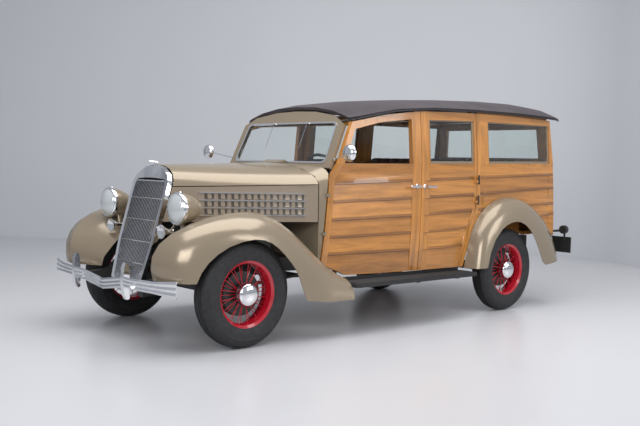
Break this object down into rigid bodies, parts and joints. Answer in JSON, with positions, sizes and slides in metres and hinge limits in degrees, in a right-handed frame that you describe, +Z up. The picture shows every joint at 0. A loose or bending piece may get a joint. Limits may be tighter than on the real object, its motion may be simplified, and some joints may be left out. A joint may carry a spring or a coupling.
{
  "type": "station wagon",
  "caption": "Wood-bodied station wagon of the mid 1930s: painted fenders and hood, lapped plank sides, opening doors and tail, wire wheels, steering front axle.",
  "frame": {"origin": "on the ground under the middle of the car's length and width", "axes": "+X towards the front of the car, +Y towards its left side, +Z up"},
  "size_m": [4.613, 1.82, 1.8645],
  "materials": {
    "body_paint": "gloss",
    "body_wood": "varnished",
    "roof_cover": "satin, coated cloth",
    "bright_metal": "polished",
    "wheel_paint": "gloss",
    "tyre": "matte",
    "black_steel": "semi-gloss",
    "step_rubber": "matte, ribbed",
    "window_glass": "clear",
    "seat_leather": "satin",
    "engine_iron": "painted dull",
    "wheel_rim_plastic": "gloss"
  },
  "bodies": {
    "body": {"chassis_frame": "black_steel", "front_axle": "black_steel", "rear_axle": "black_steel", "engine_block": "engine_iron", "radiator_shell": "bright_metal", "grille": "bright_metal", "radiator": "black_steel", "front_bumper": "bright_metal", "front_fender_left": "body_paint", "front_fender_right": "body_paint", "rear_fender_left": "body_paint", "rear_fender_right": "body_paint", "running_board_left": "step_rubber", "running_board_right": "step_rubber", "cowl": "body_paint", "windshield_glass": "window_glass", "hood_side_left": "body_paint", "hood_side_right": "body_paint", "headlight_left": "body_paint", "headlight_right": "body_paint", "floor": "body_wood", "body_frame": "body_wood", "quarter_panel_left": "body_wood", "quarter_panel_right": "body_wood", "quarter_glass_left": "window_glass", "quarter_glass_right": "window_glass", "roof": "roof_cover", "seat_front": "seat_leather", "seat_middle": "seat_leather", "seat_rear": "seat_leather", "mirror_left": "bright_metal", "mirror_right": "bright_metal", "tail_lamp": "black_steel", "fuel_tank": "black_steel"},
    "hood_left": {"hood_top_left": "body_paint"},
    "hood_right": {"hood_top_right": "body_paint"},
    "door_front_left": {"front_door_left": "body_wood"},
    "door_front_right": {"front_door_right": "body_wood"},
    "door_rear_left": {"rear_door_left": "body_wood", "rear_door_glass_left": "window_glass"},
    "door_rear_right": {"rear_door_right": "body_wood", "rear_door_glass_right": "window_glass"},
    "tailgate": {"tailgate": "body_wood", "spare_wheel": "wheel_paint", "spare_tyre": "tyre"},
    "liftgate": {"liftgate": "body_wood", "liftgate_glass": "window_glass"},
    "steering_wheel": {"steering_wheel": "wheel_rim_plastic"},
    "knuckle_left": {"knuckle_left": "black_steel"},
    "knuckle_right": {"knuckle_right": "black_steel"},
    "tie_rod": {"tie_rod": "black_steel"},
    "wheel_front_left": {"wheel_front_left": "wheel_paint", "tyre_front_left": "tyre"},
    "wheel_front_right": {"wheel_front_right": "wheel_paint", "tyre_front_right": "tyre"},
    "wheel_rear_left": {"wheel_rear_left": "wheel_paint", "tyre_rear_left": "tyre"},
    "wheel_rear_right": {"wheel_rear_right": "wheel_paint", "tyre_rear_right": "tyre"}
  },
  "joints": [
    {"name": "steer_left", "type": "hinge", "parent": "body", "child": "knuckle_left", "pos_m": [1.6385, 0.62, 0.355], "axis": [0, 0, 1], "range_deg": [-28, 28]},
    {"name": "steer_right", "type": "hinge", "parent": "body", "child": "knuckle_right", "pos_m": [1.6385, -0.62, 0.355], "axis": [0, 0, 1], "range_deg": [-28, 28]},
    {"name": "tie_rod_pivot", "type": "hinge", "parent": "knuckle_left", "child": "tie_rod", "pos_m": [1.4885, 0.56, 0.2824], "axis": [0, 0, 1], "range_deg": [-28, 28]},
    {"name": "steering_wheel_turn", "type": "hinge", "parent": "body", "child": "steering_wheel", "pos_m": [0.5185, 0.35, 1.14], "axis": [-0.7071, 0, 0.7071], "range_deg": [-420, 420]},
    {"name": "spin_front_left", "type": "hinge", "parent": "knuckle_left", "child": "wheel_front_left", "pos_m": [1.6385, 0.716, 0.355], "axis": [0, 1, 0], "continuous": true},
    {"name": "spin_front_right", "type": "hinge", "parent": "knuckle_right", "child": "wheel_front_right", "pos_m": [1.6385, -0.716, 0.355], "axis": [0, 1, 0], "continuous": true},
    {"name": "spin_rear_left", "type": "hinge", "parent": "body", "child": "wheel_rear_left", "pos_m": [-1.2065, 0.73, 0.355], "axis": [0, 1, 0], "continuous": true},
    {"name": "spin_rear_right", "type": "hinge", "parent": "body", "child": "wheel_rear_right", "pos_m": [-1.2065, -0.73, 0.355], "axis": [0, 1, 0], "continuous": true},
    {"name": "door_front_left_swing", "type": "hinge", "parent": "body", "child": "door_front_left", "pos_m": [0.85273, 0.64315, 0.6], "axis": [0.0786, -0.0154, -0.9968], "range_deg": [0, 65]},
    {"name": "door_front_right_swing", "type": "hinge", "parent": "body", "child": "door_front_right", "pos_m": [0.85273, -0.64315, 0.6], "axis": [-0.0786, -0.0154, 0.9968], "range_deg": [0, 65]},
    {"name": "door_rear_left_swing", "type": "hinge", "parent": "body", "child": "door_rear_left", "pos_m": [-0.8135, 0.748, 0.6], "axis": [0, 0, 1], "range_deg": [0, 65]},
    {"name": "door_rear_right_swing", "type": "hinge", "parent": "body", "child": "door_rear_right", "pos_m": [-0.8135, -0.748, 0.6], "axis": [0, 0, -1], "range_deg": [0, 65]},
    {"name": "hood_left_lift", "type": "hinge", "parent": "body", "child": "hood_left", "pos_m": [1.4385, 0, 1.1988], "axis": [0.9991, 0, -0.042], "range_deg": [0, 60]},
    {"name": "hood_right_lift", "type": "hinge", "parent": "body", "child": "hood_right", "pos_m": [1.4385, 0, 1.1988], "axis": [-0.9991, 0, 0.042], "range_deg": [0, 60]},
    {"name": "tailgate_drop", "type": "hinge", "parent": "body", "child": "tailgate", "pos_m": [-2.06459, 0, 0.622], "axis": [0, -1, 0], "range_deg": [0, 90]},
    {"name": "liftgate_lift", "type": "hinge", "parent": "body", "child": "liftgate", "pos_m": [-1.98455, 0, 1.684], "axis": [0, 1, 0], "range_deg": [0, 85]}
  ],
  "couplings": [
    {"joint": "steer_right", "follows": "steer_left", "ratio": 1},
    {"joint": "tie_rod_pivot", "follows": "steer_left", "ratio": -1},
    {"joint": "steering_wheel_turn", "follows": "steer_left", "ratio": 15}
  ]
}
